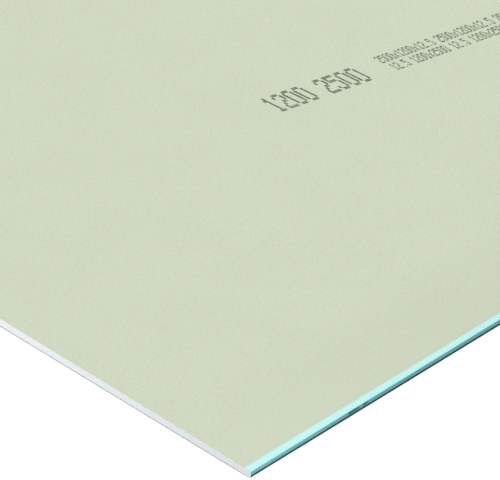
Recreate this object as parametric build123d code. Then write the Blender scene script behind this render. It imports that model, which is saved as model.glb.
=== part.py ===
from build123d import *
import os

# A sheet of moisture-resistant drywall, lying flat with its finished face up.
# A white gypsum core is cast between two papers. The green face paper wraps the two
# long edges and is folded a short way onto the back, and the grey back paper laps
# over those flaps. The two ends are sawn across, so all three pieces show there.
# Millimetres. X is the sheet's length, Y its width, Z its thickness.
# The origin is under the middle of the sheet, on the surface that it lies on.

# The sheet
sheet_length = 2500.0
sheet_width = 1200.0
sheet_thickness = 12.5

# The papers
face_paper_thickness = 0.4
back_paper_thickness = 0.4

# The long edges: the face falls gently towards them, so that a joint can be filled flush
taper_width = 80.0
taper_depth = 0.6
shoulder_radius = 0.8
heel_radius = 4.0

# The laps on the back
flap_width = 28.0
back_paper_setback = 9.0


def edge_section():
    """Outline of core and face paper together, across the sheet, on the back paper's inner side."""
    half_width = sheet_width / 2
    foot = back_paper_thickness
    taper_start = half_width - taper_width
    edge_top = sheet_thickness - taper_depth
    with BuildSketch(Plane.YZ) as section:
        with BuildLine():
            Polyline(
                (-half_width, foot),
                (half_width, foot),
                (half_width, edge_top),
                (taper_start, sheet_thickness),
                (-taper_start, sheet_thickness),
                (-half_width, edge_top),
                close=True,
            )
        make_face()
        # The drawing's own X runs across the sheet and its Y up the thickness
        heels = section.vertices().group_by(Axis.Y)[0]
        fillet(heels, radius=heel_radius)
        edge_corners = section.vertices().filter_by(lambda v: abs(v.X) > half_width - taper_width / 2)
        shoulders = edge_corners.group_by(Axis.Y)[-1]
        fillet(shoulders, radius=shoulder_radius)
    return section.sketch


def core_section(wrapped):
    """The wrapped outline less the paper's thickness, and the core's step down between the flaps."""
    inside_paper = offset(wrapped, amount=-face_paper_thickness)
    step_width = sheet_width - 2 * flap_width
    step_middle = back_paper_thickness + face_paper_thickness / 2
    step = Plane.YZ * Pos(0, step_middle) * Rectangle(step_width, face_paper_thickness)
    return inside_paper + step


def along_the_sheet(section):
    """A section drawn across the sheet, run along its whole length."""
    return extrude(section, amount=sheet_length / 2, both=True)


def gypsum_core():
    return along_the_sheet(core_section(edge_section()))


def face_paper():
    wrapped = edge_section()
    return along_the_sheet(wrapped - core_section(wrapped))


def back_paper():
    width = sheet_width - 2 * back_paper_setback
    flat = (Align.CENTER, Align.CENTER, Align.MIN)
    return Box(sheet_length, width, back_paper_thickness, align=flat)


PIECES = {
    "gypsum_core": gypsum_core,
    "face_paper": face_paper,
    "back_paper": back_paper,
}

os.makedirs("parts", exist_ok=True)
for name, make in PIECES.items():
    piece = make()
    piece.label = name
    export_step(piece, f"parts/{name}.step")
    print(name, "volume", round(piece.volume), "mm3, size", piece.bounding_box().size)
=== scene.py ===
import math
import random

import bpy
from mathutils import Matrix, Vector, noise


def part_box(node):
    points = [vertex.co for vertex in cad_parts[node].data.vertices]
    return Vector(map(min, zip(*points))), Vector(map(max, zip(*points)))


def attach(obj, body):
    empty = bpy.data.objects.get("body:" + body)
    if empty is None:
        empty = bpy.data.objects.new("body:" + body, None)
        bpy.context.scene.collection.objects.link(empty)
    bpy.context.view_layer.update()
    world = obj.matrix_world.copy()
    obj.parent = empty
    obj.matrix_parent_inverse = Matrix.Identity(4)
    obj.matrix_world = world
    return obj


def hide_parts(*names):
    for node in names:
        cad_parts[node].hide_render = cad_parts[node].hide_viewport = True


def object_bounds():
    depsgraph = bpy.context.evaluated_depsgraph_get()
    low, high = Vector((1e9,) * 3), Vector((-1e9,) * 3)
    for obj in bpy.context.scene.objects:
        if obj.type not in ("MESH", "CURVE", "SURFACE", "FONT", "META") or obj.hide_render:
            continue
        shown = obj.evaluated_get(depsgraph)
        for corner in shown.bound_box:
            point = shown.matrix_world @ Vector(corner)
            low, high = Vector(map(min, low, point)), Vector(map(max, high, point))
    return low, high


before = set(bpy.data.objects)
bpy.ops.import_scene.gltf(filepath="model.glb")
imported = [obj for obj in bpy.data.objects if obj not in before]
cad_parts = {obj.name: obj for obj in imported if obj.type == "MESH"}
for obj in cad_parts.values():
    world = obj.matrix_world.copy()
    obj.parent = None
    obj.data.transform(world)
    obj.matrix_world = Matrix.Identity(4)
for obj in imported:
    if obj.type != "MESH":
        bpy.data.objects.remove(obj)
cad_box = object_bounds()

# A sheet of moisture-resistant drywall, lying face up on a pale floor.
# Metres. X is the sheet's length, Y its width, Z its thickness, and its back is at 0.

MM = 0.001

# The sheet, from the frame
HALF_LENGTH = cad_box[1].x
HALF_WIDTH = cad_box[1].y
THICKNESS = cad_box[1].z
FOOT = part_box("back_paper")[1].z
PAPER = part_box("face_paper")[1].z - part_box("gypsum_core")[1].z

# The long edges, as in the sheet's own design
TAPER_WIDTH = 80 * MM
TAPER_DEPTH = 0.6 * MM
SHOULDER_RADIUS = 0.8 * MM
HEEL_RADIUS = 4.0 * MM
FLAP_WIDTH = 28 * MM

# The printed ink has a thickness of its own, so the paper lies that much lower
INK = 0.03 * MM
FACE_TOP = THICKNESS - INK
TAPER_START = HALF_WIDTH - TAPER_WIDTH
SLOPE = math.atan2(TAPER_DEPTH, TAPER_WIDTH)
HEEL_Y = HALF_WIDTH - HEEL_RADIUS
HEEL_Z = FOOT + HEEL_RADIUS
SHOULDER_Y = HALF_WIDTH - SHOULDER_RADIUS
SHOULDER_Z = FACE_TOP - (SHOULDER_Y - TAPER_START) * math.tan(SLOPE) - SHOULDER_RADIUS / math.cos(SLOPE)

# Steps round the edge's curves and up its flat side
HEEL_STEPS = 14
SHOULDER_STEPS = 6
SIDE_STEPS = 12

# Stations along the sheet, wide apart except where the edge is scuffed
STATION = 50 * MM
FINE_STATION = 1 * MM


# Shapes

def mesh_piece(name, points, faces, material):
    """A mesh that belongs to the sheet, with its curves smooth and its corners sharp."""
    mesh = bpy.data.meshes.new(name)
    mesh.from_pydata(points, [], faces)
    mesh.shade_smooth()
    mesh.set_sharp_from_angle(angle=math.radians(25))
    mesh.materials.append(material)
    piece = bpy.data.objects.new(name, mesh)
    bpy.context.scene.collection.objects.link(piece)
    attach(piece, "root")
    return piece


def arc(centre_y, centre_z, radius, start, end, steps):
    """Points along an arc, each with its outward normal. Angles in degrees from +Y towards +Z."""
    path = []
    for step in range(steps + 1):
        angle = math.radians(start + (end - start) * step / steps)
        normal = (math.cos(angle), math.sin(angle))
        path.append(((centre_y + radius * normal[0], centre_z + radius * normal[1]), normal))
    return path


def edge_path():
    """The paper's outside at the +Y edge, from the flap's end on the back to where the taper starts."""
    path = [((HALF_WIDTH - FLAP_WIDTH, FOOT), (0, -1))]
    path += arc(HEEL_Y, HEEL_Z, HEEL_RADIUS, -90, 0, HEEL_STEPS)
    for step in range(1, SIDE_STEPS):
        z = HEEL_Z + (SHOULDER_Z - HEEL_Z) * step / SIDE_STEPS
        path.append(((HALF_WIDTH, z), (1, 0)))
    path += arc(SHOULDER_Y, SHOULDER_Z, SHOULDER_RADIUS, 0, 90 - math.degrees(SLOPE), SHOULDER_STEPS)
    path.append(((TAPER_START, FACE_TOP), (0, 1)))
    return path


def stations():
    """Places along X at which the sheet's section is set, close together at the scuffs."""
    places = set()
    count = round(2 * HALF_LENGTH / STATION)
    for step in range(count + 1):
        places.add(round(-HALF_LENGTH + 2 * HALF_LENGTH * step / count, 6))
    for scuff in SCUFFS:
        fine = round((scuff["end"] - scuff["start"]) / FINE_STATION) + 2
        for step in range(-1, fine):
            places.add(round(-HALF_LENGTH + scuff["start"] + step * FINE_STATION, 6))
    return sorted(places)


# The face paper, with the scuffs on the long edge near the camera

# start and end are measured from the cut end at -X
SCUFFS = (
    {"start": 170 * MM, "end": 194 * MM, "weight": 1.0},
    {"start": 196 * MM, "end": 208 * MM, "weight": 0.85},
)
SCUFF_DEPTH = 0.35 * MM
SCUFF_DARK_Z = 9.2 * MM
SCUFF_PALE_Z = 7.0 * MM
SCUFF_DEEP_Z = 8.4 * MM
SCUFF_HALF_HEIGHT = 2.4 * MM
SCUFF_DEEP_HALF_HEIGHT = 1.5 * SCUFF_HALF_HEIGHT

# How ragged a scuff is, the size of its ragged patches, and how fast it sets in and fades out
SCUFF_RAGGED = 0.5
SCUFF_PATCH = 2.5 * MM
SCUFF_RISE = 7
SCUFF_FALL = 3

# Room for rounding where places are compared
HAIR = 0.001 * MM


def bell(value, middle, half):
    """1 at the middle, falling smoothly to 0 at half to either side."""
    return max(0.0, 1 - ((value - middle) / half) ** 2) ** 2


def scuff_at(x, z):
    """How dark, how pale and how deep the scuffed edge is at a place on its side. The dark is dirt and
    painted shade where the dent faces down, and the pale is scuffed fibre and painted light where it faces
    up.
    """
    dark = pale = deep = 0.0
    for scuff in SCUFFS:
        along = (x + HALF_LENGTH - scuff["start"]) / (scuff["end"] - scuff["start"])
        if 0 < along < 1:
            ragged = 1 + SCUFF_RAGGED * noise.noise(Vector((x, z, 0)) / SCUFF_PATCH)
            fade = scuff["weight"] * min(1, SCUFF_RISE * along, SCUFF_FALL * (1 - along)) * ragged
            dark += fade * bell(z, SCUFF_DARK_Z, SCUFF_HALF_HEIGHT)
            pale += fade * bell(z, SCUFF_PALE_Z, SCUFF_HALF_HEIGHT)
            deep += fade * bell(z, SCUFF_DEEP_Z, SCUFF_DEEP_HALF_HEIGHT)
    return min(dark, 1), min(pale, 1), min(deep, 1)


def face_paper(material):
    """The green paper: one strip folded round both long edges, swept along the sheet."""
    edge = edge_path()
    mirrored = [((-y, z), (-ny, nz)) for (y, z), (ny, nz) in edge]
    path = mirrored + edge[::-1]
    places = stations()
    points = []
    marks = []
    for x in places:
        for (y, z), _ in path:
            on_near_side = y <= -HALF_WIDTH + HAIR
            dark, pale, deep = scuff_at(x, z) if on_near_side else (0.0, 0.0, 0.0)
            points.append((x, y + deep * SCUFF_DEPTH, z))
            marks.append((dark, pale))
        for (y, z), (ny, nz) in path[::-1]:
            points.append((x, y - ny * PAPER, z - nz * PAPER))
            marks.append((0.0, 0.0))
    ring = 2 * len(path)
    faces = []
    for station in range(len(places) - 1):
        near, far = station * ring, (station + 1) * ring
        for step in range(ring):
            after = (step + 1) % ring
            faces.append((near + step, near + after, far + after, far + step))
    last = (len(places) - 1) * ring
    for step in range(len(path) - 1):
        other = ring - 1 - step
        faces.append((step + 1, step, other, other - 1))
        faces.append((last + step, last + step + 1, last + other - 1, last + other))
    piece = mesh_piece("face_paper_sheet", points, faces, material)
    for index, name in enumerate(("scuff_dark", "scuff_pale")):
        layer = piece.data.attributes.new(name, "FLOAT", "POINT")
        layer.data.foreach_set("value", [mark[index] for mark in marks])
    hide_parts("face_paper")
    return piece


# The gypsum core, flat inside its papers and rough where it was sawn across

CORE_COLUMN = 1.6 * MM
CORE_ROWS = 9
FLAP_STEP = 0.05 * MM

# The saw's marks, the pores that it opened, and the chips that it broke out along the papers
SAW_RELIEF = 0.10 * MM
SAW_MARK = 2.2 * MM
PORE_SPACING = 4 * MM
PORE_START = 0.35
PORE_SHIFT = Vector((7, 3, 0))
CHIP_DEPTH = 0.25 * MM
CHIP_LENGTH = 9 * MM
CHIP_REACH = 1.6 * MM


def core_foot(y):
    """The core's underside across the sheet: on the back paper, or on the flap, or round the heel."""
    y = abs(y)
    if y <= HALF_WIDTH - FLAP_WIDTH:
        return FOOT
    if y <= HEEL_Y:
        return FOOT + PAPER
    radius = HEEL_RADIUS - PAPER
    return HEEL_Z - math.sqrt(max(radius ** 2 - (y - HEEL_Y) ** 2, 0))


def core_top(y):
    """The core's upper side across the sheet: flat, then tapered, then round the shoulder."""
    y = abs(y)
    if y <= TAPER_START:
        return FACE_TOP - PAPER
    radius = SHOULDER_RADIUS - PAPER
    if y <= SHOULDER_Y + radius * math.sin(SLOPE):
        return FACE_TOP - (y - TAPER_START) * math.tan(SLOPE) - PAPER / math.cos(SLOPE)
    return SHOULDER_Z + math.sqrt(max(radius ** 2 - (y - SHOULDER_Y) ** 2, 0))


def core_columns():
    """Places across the sheet, close together round the heel and the shoulder."""
    half = [HALF_WIDTH - FLAP_WIDTH - FLAP_STEP, HALF_WIDTH - FLAP_WIDTH + FLAP_STEP, TAPER_START]
    count = round((HEEL_Y - 2 * CORE_COLUMN) / CORE_COLUMN)
    half += [CORE_COLUMN * (step + 0.5) for step in range(count)]
    half += [y for (y, _), _ in arc(HEEL_Y, 0, HEEL_RADIUS - PAPER, -90, 0, HEEL_STEPS)]
    half += [y for (y, _), _ in arc(SHOULDER_Y, 0, SHOULDER_RADIUS - PAPER, 0, 90, SHOULDER_STEPS)]
    half = sorted({round(y, 6) for y in half})
    return [-y for y in half[::-1]] + half


def saw_depth(y, z, seed):
    """How far the sawn core lies behind its end: fine saw marks, pores, and chips along the papers."""
    place = Vector((y, z, seed))
    marks = 0.5 + 0.5 * noise.noise(place / SAW_MARK)
    pores = max(0.0, noise.noise(place / PORE_SPACING + PORE_SHIFT) - PORE_START) / (1 - PORE_START)
    edge = min(z - core_foot(y), core_top(y) - z)
    broken = max(0.0, noise.noise(Vector((y / CHIP_LENGTH, seed, z / THICKNESS))))
    chips = broken * bell(edge, 0, CHIP_REACH)
    return SAW_RELIEF * (marks + 2 * pores) + CHIP_DEPTH * chips


def gypsum_core(material):
    """The cast core, with a fine grid over each sawn end."""
    columns = core_columns()
    points = []
    faces = []
    grids = []
    for side in (-1, 1):
        grid = []
        for y in columns:
            foot, top = core_foot(y), core_top(y)
            column = []
            for row in range(CORE_ROWS + 1):
                z = foot + (top - foot) * row / CORE_ROWS
                column.append(len(points))
                points.append((side * (HALF_LENGTH - saw_depth(y, z, side)), y, z))
            grid.append(column)
        grids.append(grid)
        for here, there in zip(grid, grid[1:]):
            for row in range(CORE_ROWS):
                face = (here[row], here[row + 1], there[row + 1], there[row])
                faces.append(face if side < 0 else face[::-1])
    near, far = grids
    for index in range(len(columns) - 1):
        faces.append((near[index][0], near[index + 1][0], far[index + 1][0], far[index][0]))
        faces.append((near[index + 1][-1], near[index][-1], far[index][-1], far[index + 1][-1]))
    for row in range(CORE_ROWS):
        faces.append((near[0][row + 1], near[0][row], far[0][row], far[0][row + 1]))
        faces.append((near[-1][row], near[-1][row + 1], far[-1][row + 1], far[-1][row]))
    piece = mesh_piece("gypsum_board_core", points, faces, material)
    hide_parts("gypsum_core")
    return piece


# The ink: plain numbers printed by a row of jets, each jet's run a thin raised bar

DIGITS = {
    "0": (".###.", "#...#", "#...#", "#...#", "#...#", "#...#", ".###."),
    "1": ("..#..", ".##..", "..#..", "..#..", "..#..", "..#..", ".###."),
    "2": (".###.", "#...#", "....#", "..##.", ".#...", "#....", "#####"),
    "5": ("#####", "#....", "####.", "....#", "....#", "#...#", ".###."),
    ".": (".....", ".....", ".....", ".....", ".....", ".....", "..#.."),
    "x": (".....", ".....", "#...#", ".#.#.", "..#..", ".#.#.", "#...#"),
}
FONT_COLUMNS = 5
FONT_ROWS = 7

# The printed lines, in millimetres. Each line's first top corner is given from the corner nearest the
# camera, along and across the sheet. jets is how many print each row of a digit, spread is how far the
# ink runs past a bar's ends, and long_fill is the share of a jet's height that a long bar fills.
PRINT_LINES = (
    {"text": "1200 2500", "along": 552.8, "across": 540.5, "height": 40.4,
     "width": 13.1, "pitch": 15.6, "jets": 2, "spread": 0.25, "long_fill": 0.40},
    {"text": "2500x1200x12.5 2500x1200x12.5 2500x1200x12.5", "along": 721.4, "across": 501.0, "height": 18.4,
     "width": 4.8, "pitch": 5.9, "jets": 1, "spread": 0.3, "long_fill": 0.46},
    {"text": "12.5 1200x2500 12.5 1200x2500 12.5 1200x2500", "along": 724.6, "across": 477.3, "height": 18.4,
     "width": 4.8, "pitch": 5.9, "jets": 1, "spread": 0.3, "long_fill": 0.46},
)
# The lines drift towards the near edge as they go, and the strokes lean a little the other way
LINE_DRIFT = math.radians(14.2)
STROKE_LEAN = math.radians(5.4)

# A short bar's share of its jet's height, how unevenly bars fill it, and how far they stray
BAR_FILL = 0.48
BAR_UNEVEN = (0.85, 1.1)
BAR_CUT = 0.6
INK_SHAKE = 0.13
INK_SEED = 5


def runs(cells):
    """Where a row's marked cells start and end."""
    found = []
    for column, cell in enumerate(cells):
        if cell == "#" and column > 0 and cells[column - 1] == "#":
            found[-1][1] = column + 1
        elif cell == "#":
            found.append([column, column + 1])
    return found


def add_bar(points, faces, line, along, up, half_length, half_height):
    """A flat closed bar of ink with cut corners, set on a line's slanting axes."""
    cut = BAR_CUT * half_height
    near, far = half_length - cut, half_length
    outline = [(far, cut), (near, half_height), (-near, half_height), (-far, cut)]
    outline += [(-u, -v) for u, v in outline]
    first = len(points)
    for z in (FACE_TOP, THICKNESS):
        for u, v in outline:
            run, rise = along + u, up + v
            x = line["along"] + run * math.cos(LINE_DRIFT) - rise * math.sin(STROKE_LEAN)
            y = line["across"] - run * math.sin(LINE_DRIFT) + rise * math.cos(STROKE_LEAN)
            points.append((x * MM - HALF_LENGTH, y * MM - HALF_WIDTH, z))
    sides = len(outline)
    faces.append(tuple(range(first + sides - 1, first - 1, -1)))
    faces.append(tuple(range(first + sides, first + 2 * sides)))
    for side in range(sides):
        after = (side + 1) % sides
        faces.append((first + side, first + after, first + sides + after, first + sides + side))


def number_print(material):
    """All printed lines as one piece, readable from the long edge nearest the camera."""
    shake = random.Random(INK_SEED)
    points = []
    faces = []
    for line in PRINT_LINES:
        rows = FONT_ROWS * line["jets"]
        row_height = line["height"] / rows
        cell = line["width"] / FONT_COLUMNS
        for place, letter in enumerate(line["text"]):
            for row in range(rows if letter in DIGITS else 0):
                for start, end in runs(DIGITS[letter][row // line["jets"]]):
                    fill = BAR_FILL if end - start == 1 else line["long_fill"]
                    middle = place * line["pitch"] + (start + end) / 2 * cell
                    along = middle + shake.uniform(-INK_SHAKE, INK_SHAKE)
                    up = -(row + 0.5) * row_height
                    half_length = (end - start) / 2 * cell + line["spread"]
                    half_height = fill * row_height * shake.uniform(*BAR_UNEVEN)
                    add_bar(points, faces, line, along, up, half_length, half_height)
    return mesh_piece("number_print", points, faces, material)


# Materials

class Shader:
    """A node material, built by short calls that each return an output socket."""

    def __init__(self, name, roughness, specular):
        self.material = bpy.data.materials.new(name)
        self.material.use_nodes = True
        self.tree = self.material.node_tree
        self.surface = self.tree.nodes["Principled BSDF"]
        self.surface.inputs["Roughness"].default_value = roughness
        self.surface.inputs["Specular IOR Level"].default_value = specular
        self.place = self.node("ShaderNodeTexCoord").outputs["Object"]
        split = self.node("ShaderNodeSeparateXYZ", Vector=self.place)
        self.x, self.y, self.z = split.outputs[0], split.outputs[1], split.outputs[2]

    def node(self, kind, settings=None, **inputs):
        made = self.tree.nodes.new(kind)
        for key, value in (settings or {}).items():
            setattr(made, key, value)
        for key, value in inputs.items():
            self.feed(made.inputs[key.replace("_", " ")], value)
        return made

    def feed(self, socket, value):
        if isinstance(value, bpy.types.NodeSocket):
            self.tree.links.new(value, socket)
        else:
            socket.default_value = value

    def maths(self, operation, first, second=0.0):
        made = self.node("ShaderNodeMath", {"operation": operation})
        self.feed(made.inputs[0], first)
        self.feed(made.inputs[1], second)
        return made.outputs[0]

    def stretch(self, x, y, z):
        """The place on the sheet with each axis scaled, for grain that runs one way."""
        made = self.node("ShaderNodeVectorMath", {"operation": "MULTIPLY"})
        self.feed(made.inputs[0], self.place)
        self.feed(made.inputs[1], (x, y, z))
        return made.outputs[0]

    def noise(self, size, detail, place=None):
        """Noise from 0 to 1 whose features are about this size in metres."""
        made = self.node("ShaderNodeTexNoise", Scale=1 / size, Detail=detail)
        self.feed(made.inputs["Vector"], place or self.place)
        return made.outputs["Fac"]

    def spots(self, size):
        """Distance to the nearest of scattered points, in units of their spacing."""
        made = self.node("ShaderNodeTexVoronoi", Scale=1 / size)
        self.feed(made.inputs["Vector"], self.place)
        return made.outputs["Distance"]

    def remap(self, value, low, high, to_low, to_high, smooth=True):
        kind = "SMOOTHSTEP" if smooth else "LINEAR"
        made = self.node("ShaderNodeMapRange", {"interpolation_type": kind}, Value=value)
        for key, number in (("From Min", low), ("From Max", high), ("To Min", to_low), ("To Max", to_high)):
            self.feed(made.inputs[key], number)
        return made.outputs["Result"]

    def mix(self, share, first, second, blend="MIX"):
        made = self.node("ShaderNodeMix", {"data_type": "RGBA", "blend_type": blend})
        self.feed(made.inputs["Factor"], share)
        self.feed(made.inputs[6], first)
        self.feed(made.inputs[7], second)
        return made.outputs[2]

    def ramp(self, value, stops):
        """Colours along a value, from stops that each have a place and a colour."""
        reach = stops[-1][0]
        made = self.node("ShaderNodeValToRGB", Fac=self.maths("DIVIDE", value, reach))
        elements = made.color_ramp.elements
        elements.remove(elements[1])
        elements[0].position, elements[0].color = stops[0]
        for place, colour in stops[1:]:
            elements.new(place / reach).color = colour
        return made.outputs["Color"]

    def attribute(self, name):
        made = self.node("ShaderNodeAttribute", {"attribute_name": name})
        return made.outputs["Fac"]

    def shade(self, colour, tone):
        """A colour made lighter or darker by a tone, where 1 leaves it as it is."""
        grey = self.node("ShaderNodeCombineColor", Red=tone, Green=tone, Blue=tone).outputs[0]
        return self.mix(1.0, colour, grey, "MULTIPLY")

    def finish(self, colour, height, depth, strength):
        """The material, with its colour and a fine relief of this depth in metres."""
        bump = self.node("ShaderNodeBump", Height=height, Distance=depth, Strength=strength)
        self.feed(self.surface.inputs["Normal"], bump.outputs["Normal"])
        self.feed(self.surface.inputs["Base Color"], colour)
        return self.material


FACE_GREEN = (0.632, 0.690, 0.532, 1)
# The side's teal is the strip's colour made deeper: partly its own tint, partly painted shade that keeps it
# darker than the strip on top
SIDE_TEAL = (0.36, 0.835, 0.853, 1)
# Painted shade: the side is painted darker towards its foot, fading in between these two heights
SIDE_LOW_SHADE = (0.33, 0.675, 0.695, 1)
SIDE_SHADE_FADE_Z = (9.0 * MM, 6.4 * MM)
SIDE_TOP_Z = (SHOULDER_Z + SHOULDER_RADIUS / 4, SHOULDER_Z + SHOULDER_RADIUS)
# The sides are rubbed paler near the sawn ends: by how much at the end itself, and how far in
SIDE_RUB = 0.25
SIDE_RUB_LENGTH = 170 * MM
# Painted shade: the heel is painted near-black teal below this height, where its rounding turns under
# towards the floor, with a soft border
HEEL_PAINTED_SHADE = (0.002, 0.036, 0.041, 1)
HEEL_SHADE_TOP = 5.6 * MM
HEEL_SHADE_SOFT = 0.25 * MM
CUT_PAPER = (0.62, 0.70, 0.60, 1)
# The scuffs: dirt with painted shade high on each dent, where it faces down, and scuffed fibre with painted
# light low on it, where it faces up
SCUFF_DIRT_AND_SHADE = (0.05, 0.17, 0.20, 1)
SCUFF_FIBRE_AND_LIGHT = (0.22, 0.38, 0.41, 1)

# The strip along each long edge: its width, which sways slowly, and its colours from the edge inwards,
# each with its place as a share of that width
BAND_WIDTH = 10.8 * MM
BAND_SWAY = 0.88 * MM
BAND_PERIOD = 868 * MM
BAND_END = 1.6
BAND_COLOURS = (
    (0.00, (0.505, 0.955, 0.970, 1)),
    (0.40, (0.54, 0.945, 0.950, 1)),
    (0.74, (0.605, 0.930, 0.880, 1)),
    (0.88, (0.62, 0.870, 0.790, 1)),
    (1.00, (0.575, 0.775, 0.670, 1)),
    (1.14, (0.545, 0.700, 0.585, 1)),
    (1.30, (0.585, 0.685, 0.550, 1)),
    (BAND_END, FACE_GREEN),
)
# Painted shade: how much darker the paper is made where the strip is narrowest, beside the strip and on the
# side
FACE_PAINTED_DUSK = 0.042
SIDE_PAINTED_DUSK = 0.04

# The paper's fibres, grain and clouding, and how far the strip's border strays
FIBRE = 1.2 * MM
FIBRE_STRETCH = 0.35
PAPER_GRAIN = 2.4 * MM
PAPER_CLOUD = 90 * MM
BAND_STRAY = 0.5 * MM
BAND_STRAY_SIZE = 14 * MM
PAPER_RELIEF = 0.03 * MM


def fibres(shader):
    """Short paper fibres lying along the sheet and across it, from 0 to 1."""
    lying = shader.noise(FIBRE, 2, shader.stretch(FIBRE_STRETCH, 1, 1))
    across = shader.noise(FIBRE, 2, shader.stretch(1, FIBRE_STRETCH, 1))
    both = shader.maths("ADD", lying, across)
    return shader.maths("MULTIPLY", both, 0.5)


def green_paper():
    """Green face paper, with a pale blue-green strip along each long edge, scuffs on the near edge, and
    painted shade on the edge's side and heel and along the strip.
    """
    shader = Shader("green_face_paper", roughness=0.85, specular=0.15)
    fibre = fibres(shader)
    fine = shader.remap(shader.noise(PAPER_GRAIN, 3), 0.3, 0.7, 0.95, 1.05)
    cloud = shader.remap(shader.noise(PAPER_CLOUD, 2), 0.3, 0.7, 0.994, 1.006)
    inset = shader.maths("SUBTRACT", HALF_WIDTH, shader.maths("ABSOLUTE", shader.y))
    turn = shader.maths("MULTIPLY", shader.maths("ADD", shader.x, HALF_LENGTH), 2 * math.pi / BAND_PERIOD)
    sway = shader.maths("COSINE", turn)
    stray = shader.remap(shader.noise(BAND_STRAY_SIZE, 3), 0.2, 0.8, -BAND_STRAY, BAND_STRAY)
    width = shader.maths("ADD", BAND_WIDTH, shader.maths("MULTIPLY", sway, BAND_SWAY))
    share = shader.maths("DIVIDE", shader.maths("ADD", inset, stray), width)
    colour = shader.ramp(share, BAND_COLOURS)
    # Partly painted shade: over the shoulder the strip turns to the side's darker teal
    side = shader.remap(shader.z, SIDE_TOP_Z[0], SIDE_TOP_Z[1], 1, 0)
    # Painted shade: the side darkens towards its foot
    low = shader.remap(shader.z, SIDE_SHADE_FADE_Z[1], SIDE_SHADE_FADE_Z[0], 1, 0)
    colour = shader.mix(side, colour, shader.mix(low, SIDE_TEAL, SIDE_LOW_SHADE))
    # Painted shade: near-black teal on the heel, where it turns under towards the floor
    heel = shader.remap(shader.z, HEEL_SHADE_TOP - HEEL_SHADE_SOFT, HEEL_SHADE_TOP + HEEL_SHADE_SOFT, 1, 0)
    colour = shader.mix(heel, colour, HEEL_PAINTED_SHADE)
    # Painted shade: the paper is darkened near the long edges, most where the strip is narrowest
    waxing = shader.remap(sway, 1, -1, 0, 1, smooth=False)
    reach = shader.remap(inset, TAPER_WIDTH, 2 * TAPER_WIDTH, FACE_PAINTED_DUSK, 0)
    reach = shader.maths("ADD", reach, shader.maths("MULTIPLY", side, SIDE_PAINTED_DUSK))
    painted_dusk = shader.maths("MULTIPLY", waxing, reach)
    tone = shader.maths("SUBTRACT", shader.maths("MULTIPLY", fine, cloud), painted_dusk)
    from_end = shader.maths("SUBTRACT", HALF_LENGTH, shader.maths("ABSOLUTE", shader.x))
    rub = shader.remap(from_end, 0, SIDE_RUB_LENGTH, SIDE_RUB, 0, smooth=False)
    tone = shader.maths("ADD", tone, shader.maths("MULTIPLY", side, rub))
    # The scuffs: scuffed fibre with painted light low on each dent, and dirt with painted shade high on it
    colour = shader.mix(shader.attribute("scuff_pale"), colour, SCUFF_FIBRE_AND_LIGHT)
    colour = shader.mix(shader.attribute("scuff_dark"), colour, SCUFF_DIRT_AND_SHADE)
    colour = shader.mix(at_end(shader), colour, CUT_PAPER)
    return shader.finish(shader.shade(colour, tone), fibre, PAPER_RELIEF, 0.5)


GYPSUM_WHITE = (0.885, 0.918, 0.952, 1)
GYPSUM_EDGE = (0.75, 0.784, 0.82, 1)
# Painted shade: the grey of the band along the sawn end's foot
GYPSUM_FOOT_SHADE = (0.41, 0.42, 0.455, 1)
# How far in from each long edge the gypsum turns greyer
GREYING_REACH = 412 * MM
# Painted shade along the sawn end's foot, where it meets the floor: its height, how far that strays, and how
# soft its border is
FOOT_SHADE_HEIGHT = 1.6 * MM
FOOT_SHADE_STRAY = 0.25 * MM
FOOT_SHADE_STRAY_SIZE = 3 * MM
FOOT_SHADE_SOFT = 0.2 * MM
GYPSUM_GRAIN = 1.1 * MM
GYPSUM_PORE = 2.6 * MM
GYPSUM_RELIEF = 0.06 * MM


def gypsum():
    """White gypsum, greyer towards the long edges, with fine pores and painted shade along the foot of its
    sawn ends.
    """
    shader = Shader("white_gypsum", roughness=0.9, specular=0.2)
    inset = shader.maths("SUBTRACT", HALF_WIDTH, shader.maths("ABSOLUTE", shader.y))
    greying = shader.remap(inset, 0, GREYING_REACH, 1, 0, smooth=False)
    colour = shader.mix(greying, GYPSUM_WHITE, GYPSUM_EDGE)
    ragged = shader.remap(shader.noise(FOOT_SHADE_STRAY_SIZE, 3), 0.3, 0.7, -FOOT_SHADE_STRAY, FOOT_SHADE_STRAY)
    height = shader.maths("ADD", shader.z, ragged)
    # Painted shade: grey up to a ragged height above the core's foot, where the end meets the floor
    foot_shade = shader.remap(height, FOOT_SHADE_HEIGHT - FOOT_SHADE_SOFT, FOOT_SHADE_HEIGHT + FOOT_SHADE_SOFT, 1, 0)
    colour = shader.mix(foot_shade, colour, GYPSUM_FOOT_SHADE)
    grain = shader.noise(GYPSUM_GRAIN, 3)
    tone = shader.remap(grain, 0.3, 0.7, 0.965, 1.02)
    pores = shader.remap(shader.spots(GYPSUM_PORE), 0.0, 0.2, 0.86, 1.0)
    tone = shader.maths("MULTIPLY", tone, pores)
    relief = shader.maths("ADD", grain, pores)
    return shader.finish(shader.shade(colour, tone), relief, GYPSUM_RELIEF, 0.6)


BACK_GREY = (0.36, 0.355, 0.35, 1)
BACK_FIBRE = (0.24, 0.235, 0.235, 1)
BACK_CUT = (0.40, 0.405, 0.43, 1)
BACK_SPECK = 9 * MM
END_DEPTH = 0.002 * MM


def at_end(shader):
    """1 on what was sawn across with the sheet's ends, and 0 elsewhere."""
    return shader.maths("GREATER_THAN", shader.maths("ABSOLUTE", shader.x), HALF_LENGTH - END_DEPTH)


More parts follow.
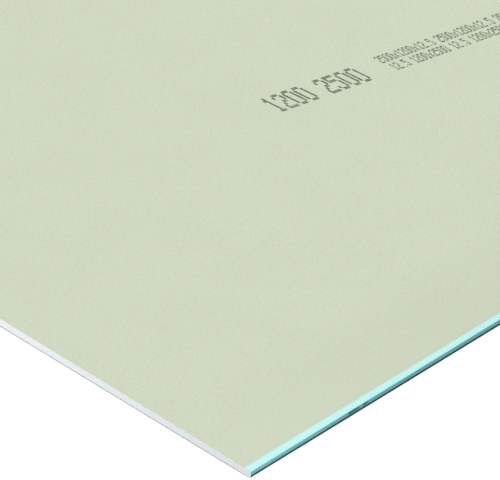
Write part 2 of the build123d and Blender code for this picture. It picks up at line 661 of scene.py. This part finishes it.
def grey_paper():
    """Grey recycled liner with darker fibres and specks, and a bluish grey cut edge at the sawn ends."""
    shader = Shader("grey_back_paper", roughness=0.9, specular=0.15)
    fibre = fibres(shader)
    colour = shader.mix(shader.remap(fibre, 0.5, 0.68, 0, 0.7), BACK_GREY, BACK_FIBRE)
    speck = shader.remap(shader.spots(BACK_SPECK), 0.03, 0.09, 1, 0)
    colour = shader.mix(speck, colour, BACK_FIBRE)
    colour = shader.mix(at_end(shader), colour, BACK_CUT)
    return shader.finish(colour, fibre, PAPER_RELIEF, 0.6)


INK_GREY = (0.10, 0.125, 0.08, 1)
INK_WORN = (0.17, 0.21, 0.14, 1)


def ink():
    """Grey-green ink, thinner where the paper's fibres show through."""
    shader = Shader("grey_ink", roughness=0.7, specular=0.2)
    fibre = fibres(shader)
    colour = shader.mix(shader.remap(fibre, 0.45, 0.6, 0, 0.6), INK_GREY, INK_WORN)
    return shader.finish(colour, fibre, 0.01 * MM, 0.4)


# The room: floor, light and camera

FLOOR_HALF = 15.0
# The floor is a hair below the sheet's back, so that the two don't flicker where they touch
FLOOR_LEVEL = -0.02 * MM
FLOOR_GLOW = 0.92
FLOOR_SHOWN = (0.18, 0.18, 0.18, 1)
FLOOR_BOUNCE = (0.06, 0.06, 0.06, 1)
SKY_TOP = 0.91
GROUND = 0.03
KEY_LEVEL = 0.69
KEY_ELEVATION = 20
KEY_TURN = 10.5
KEY_ANGLE = 25


def seen_directly(shader_tree):
    """1 for what the camera sees, also in a gloss or through glass, and 0 for light on the sheet."""
    path = shader_tree.nodes.new("ShaderNodeLightPath")
    most = path.outputs["Is Camera Ray"]
    for name in ("Is Glossy Ray", "Is Transmission Ray"):
        larger = shader_tree.nodes.new("ShaderNodeMath")
        larger.operation = "MAXIMUM"
        shader_tree.links.new(most, larger.inputs[0])
        shader_tree.links.new(path.outputs[name], larger.inputs[1])
        most = larger.outputs[0]
    return most


def floor():
    """A plain pale floor that reads white and keeps the sheet's soft shadow."""
    material = bpy.data.materials.new("pale_floor")
    material.use_nodes = True
    tree = material.node_tree
    tree.nodes.clear()
    out = tree.nodes.new("ShaderNodeOutputMaterial")
    shown = tree.nodes.new("ShaderNodeBsdfDiffuse")
    shown.inputs["Color"].default_value = FLOOR_SHOWN
    lift = tree.nodes.new("ShaderNodeEmission")
    lift.inputs["Strength"].default_value = FLOOR_GLOW
    added = tree.nodes.new("ShaderNodeAddShader")
    bounce = tree.nodes.new("ShaderNodeBsdfDiffuse")
    bounce.inputs["Color"].default_value = FLOOR_BOUNCE
    choose = tree.nodes.new("ShaderNodeMixShader")
    tree.links.new(shown.outputs[0], added.inputs[0])
    tree.links.new(lift.outputs[0], added.inputs[1])
    tree.links.new(seen_directly(tree), choose.inputs[0])
    tree.links.new(bounce.outputs[0], choose.inputs[1])
    tree.links.new(added.outputs[0], choose.inputs[2])
    tree.links.new(choose.outputs[0], out.inputs["Surface"])
    corners = [(-1, -1), (1, -1), (1, 1), (-1, 1)]
    mesh = bpy.data.meshes.new("floor")
    mesh.from_pydata([(FLOOR_HALF * x, FLOOR_HALF * y, FLOOR_LEVEL) for x, y in corners], [], [(0, 1, 2, 3)])
    mesh.materials.append(material)
    made = bpy.data.objects.new("floor", mesh)
    bpy.context.scene.collection.objects.link(made)


def sky():
    """A soft sky that is brightest overhead, behind a plain white background."""
    world = bpy.data.worlds.new("studio")
    world.use_nodes = True
    bpy.context.scene.world = world
    tree = world.node_tree
    out = tree.nodes["World Output"]
    light = tree.nodes["Background"]
    backdrop = tree.nodes.new("ShaderNodeBackground")
    backdrop.inputs["Color"].default_value = (1, 1, 1, 1)
    light.inputs["Color"].default_value = (1, 1, 1, 1)
    direction = tree.nodes.new("ShaderNodeTexCoord")
    split = tree.nodes.new("ShaderNodeSeparateXYZ")
    tree.links.new(direction.outputs["Generated"], split.inputs[0])
    level = split.outputs["Z"]
    for operation, number in (("MAXIMUM", 0.0), ("POWER", 0.5), ("MULTIPLY", SKY_TOP), ("ADD", GROUND)):
        step = tree.nodes.new("ShaderNodeMath")
        step.operation = operation
        step.inputs[1].default_value = number
        tree.links.new(level, step.inputs[0])
        level = step.outputs[0]
    tree.links.new(level, light.inputs["Strength"])
    choose = tree.nodes.new("ShaderNodeMixShader")
    tree.links.new(seen_directly(tree), choose.inputs[0])
    tree.links.new(light.outputs[0], choose.inputs[1])
    tree.links.new(backdrop.outputs[0], choose.inputs[2])
    tree.links.new(choose.outputs[0], out.inputs["Surface"])


def key_light():
    """A low soft light on the cut end nearest the camera."""
    lamp = bpy.data.lights.new("key", "SUN")
    lamp.energy = math.pi * KEY_LEVEL
    lamp.angle = math.radians(KEY_ANGLE)
    made = bpy.data.objects.new("key", lamp)
    turn = math.radians(KEY_TURN)
    height = math.radians(KEY_ELEVATION)
    level = math.cos(height)
    towards = Vector((-math.cos(turn) * level, -math.sin(turn) * level, math.sin(height)))
    made.rotation_euler = towards.to_track_quat("Z", "Y").to_euler()
    bpy.context.scene.collection.objects.link(made)


# The photograph's frame: its size, where the sheet's nearest corner falls, and its scale
PICTURE_WIDTH = 500
PICTURE_HEIGHT = 480
CORNER_PIXEL = (249.47, 478.42)
PIXEL = MM / 0.81
CORNER_INSET = 2.45 * MM
AZIMUTH = math.radians(-45.08)
ELEVATION = math.radians(37.6)
LENS = 1200.0
SENSOR = 36.0


def camera():
    """A long lens that keeps parallel edges parallel, at the photo's angle to the nearest corner."""
    forward = Vector((
        -math.sin(AZIMUTH) * math.cos(ELEVATION),
        math.cos(AZIMUTH) * math.cos(ELEVATION),
        -math.sin(ELEVATION),
    ))
    right = Vector((math.cos(AZIMUTH), math.sin(AZIMUTH), 0))
    up = right.cross(forward)
    corner = Vector((-HALF_LENGTH, -HALF_WIDTH + CORNER_INSET, 0))
    centre = corner + right * (PICTURE_WIDTH / 2 - CORNER_PIXEL[0]) * PIXEL
    centre += up * (CORNER_PIXEL[1] - PICTURE_HEIGHT / 2) * PIXEL
    distance = PICTURE_WIDTH * PIXEL * LENS / SENSOR
    lens = bpy.data.cameras.new("camera")
    lens.lens = LENS
    lens.sensor_width = SENSOR
    lens.clip_end = 2 * distance
    made = bpy.data.objects.new("camera", lens)
    made.location = corner - forward * distance
    made.rotation_euler = (centre - made.location).to_track_quat("-Z", "Y").to_euler()
    bpy.context.scene.collection.objects.link(made)
    bpy.context.scene.camera = made


bpy.context.scene.view_settings.view_transform = "Standard"
camera()
floor()
sky()
key_light()
face_paper(green_paper())
gypsum_core(gypsum())
number_print(ink())
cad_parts["back_paper"].data.materials.clear()
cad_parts["back_paper"].data.materials.append(grey_paper())
